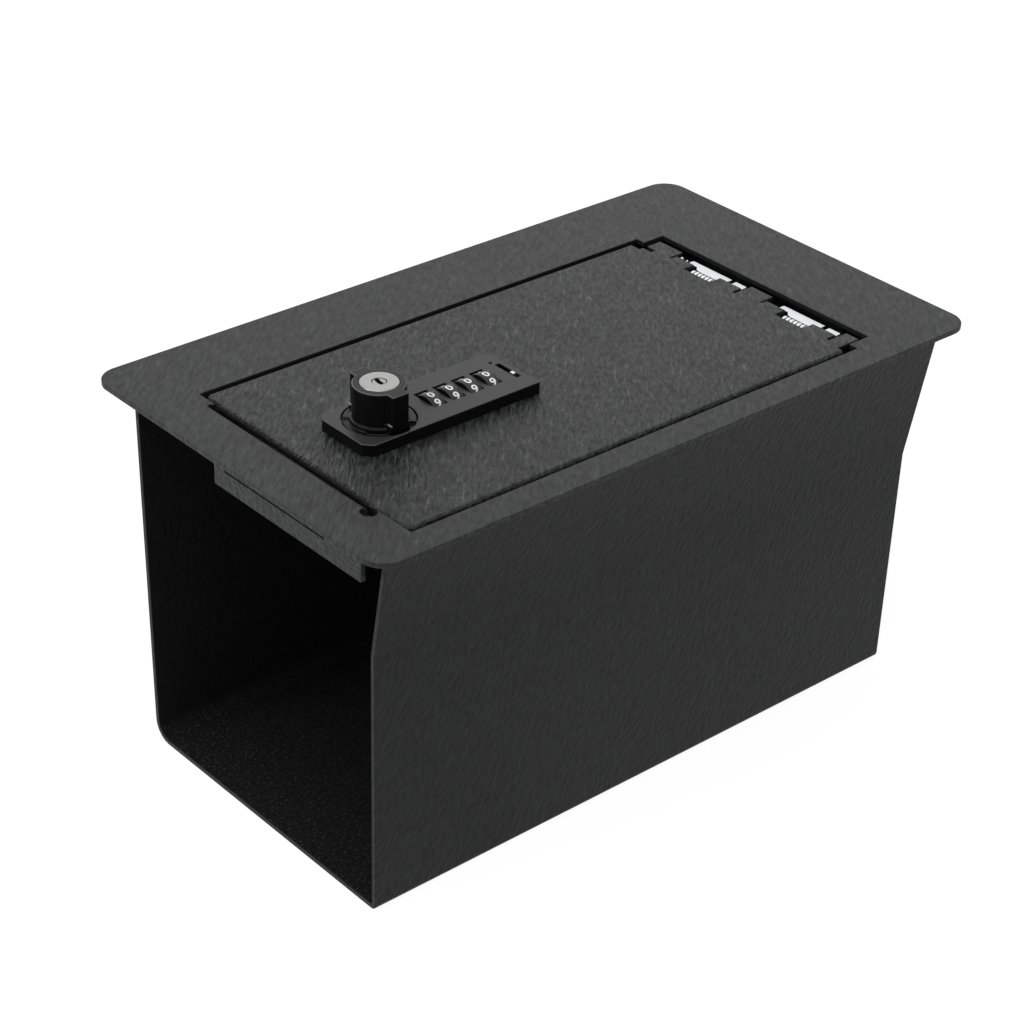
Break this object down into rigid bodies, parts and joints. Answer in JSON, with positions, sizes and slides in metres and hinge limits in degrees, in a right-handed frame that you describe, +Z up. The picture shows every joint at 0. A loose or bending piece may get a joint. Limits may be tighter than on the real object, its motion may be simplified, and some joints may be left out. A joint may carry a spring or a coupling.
{
  "type": "console safe",
  "caption": "Folded steel console safe, open at one end, with a flange plate, a spring-hinged lid and a combination cam lock with a key override.",
  "frame": {"origin": "under the middle of the top plate, on the underside of the box's floor", "axes": "+X from the open front end towards the lid's hinges, +Y from the flared wall towards the far wall, +Z up through the lid"},
  "size_m": [0.352, 0.208, 0.206],
  "materials": {
    "coated_steel": "textured black powder coat",
    "zinc_plated": "bright zinc plate",
    "spring_wire": "zinc-plated spring wire",
    "lock_finish": "satin black on die-cast zinc",
    "wheel_plastic": "moulded black plastic with white numbers",
    "satin_nickel": "satin nickel plate",
    "cast_zinc": "bare die-cast zinc"
  },
  "bodies": {
    "frame": {"body_shell": "coated_steel", "rear_wall": "coated_steel", "top_plate": "coated_steel", "hinge_1_bracket": "coated_steel", "hinge_1_pin": "zinc_plated", "hinge_1_clip_far": "zinc_plated", "hinge_1_clip_near": "zinc_plated", "hinge_2_bracket": "coated_steel", "hinge_2_pin": "zinc_plated", "hinge_2_clip_far": "zinc_plated", "hinge_2_clip_near": "zinc_plated"},
    "lid_assembly": {"lid": "coated_steel", "hinge_1_leaf": "zinc_plated", "hinge_1_spring": "spring_wire", "hinge_1_stud_nut_1": "zinc_plated", "hinge_1_stud_nut_2": "zinc_plated", "hinge_2_leaf": "zinc_plated", "hinge_2_spring": "spring_wire", "hinge_2_stud_nut_1": "zinc_plated", "hinge_2_stud_nut_2": "zinc_plated", "lock_plate": "lock_finish", "lock_body": "cast_zinc", "wheel_axle": "cast_zinc", "lock_screw_1": "zinc_plated", "lock_screw_2": "zinc_plated", "lock_screw_3": "zinc_plated", "lock_screw_4": "zinc_plated"},
    "knob_and_latch": {"knob": "lock_finish", "key_cylinder": "satin_nickel", "spindle": "cast_zinc", "latch_washer": "zinc_plated", "latch": "zinc_plated", "latch_screw": "zinc_plated"},
    "key_plug": {"key_plug": "satin_nickel"},
    "wheel_1": {"number_wheel_1": "wheel_plastic"},
    "wheel_2": {"number_wheel_2": "wheel_plastic"},
    "wheel_3": {"number_wheel_3": "wheel_plastic"},
    "wheel_4": {"number_wheel_4": "wheel_plastic"},
    "code_slider": {"code_change_slider": "satin_nickel"}
  },
  "joints": [
    {"name": "lid_hinge", "type": "hinge", "parent": "frame", "child": "lid_assembly", "pos_m": [0.1128, 0, 0.1776], "axis": [0, 1, 0], "range_deg": [0, 95]},
    {"name": "knob_turn", "type": "hinge", "parent": "lid_assembly", "child": "knob_and_latch", "pos_m": [-0.1055, -0.0138, 0.18], "axis": [0, 0, 1], "range_deg": [0, 90]},
    {"name": "key_turn", "type": "hinge", "parent": "knob_and_latch", "child": "key_plug", "pos_m": [-0.1055, -0.0138, 0.2], "axis": [0, 0, 1], "range_deg": [0, 90]},
    {"name": "wheel_1_spin", "type": "hinge", "parent": "lid_assembly", "child": "wheel_1", "pos_m": [-0.0772, -0.0138, 0.181], "axis": [1, 0, 0], "continuous": true},
    {"name": "wheel_2_spin", "type": "hinge", "parent": "lid_assembly", "child": "wheel_2", "pos_m": [-0.06677, -0.0138, 0.181], "axis": [1, 0, 0], "continuous": true},
    {"name": "wheel_3_spin", "type": "hinge", "parent": "lid_assembly", "child": "wheel_3", "pos_m": [-0.05634, -0.0138, 0.181], "axis": [1, 0, 0], "continuous": true},
    {"name": "wheel_4_spin", "type": "hinge", "parent": "lid_assembly", "child": "wheel_4", "pos_m": [-0.04591, -0.0138, 0.181], "axis": [1, 0, 0], "continuous": true},
    {"name": "code_change_slide", "type": "slide", "parent": "lid_assembly", "child": "code_slider", "axis": [0, 1, 0], "range_m": [0, 0.009]}
  ]
}
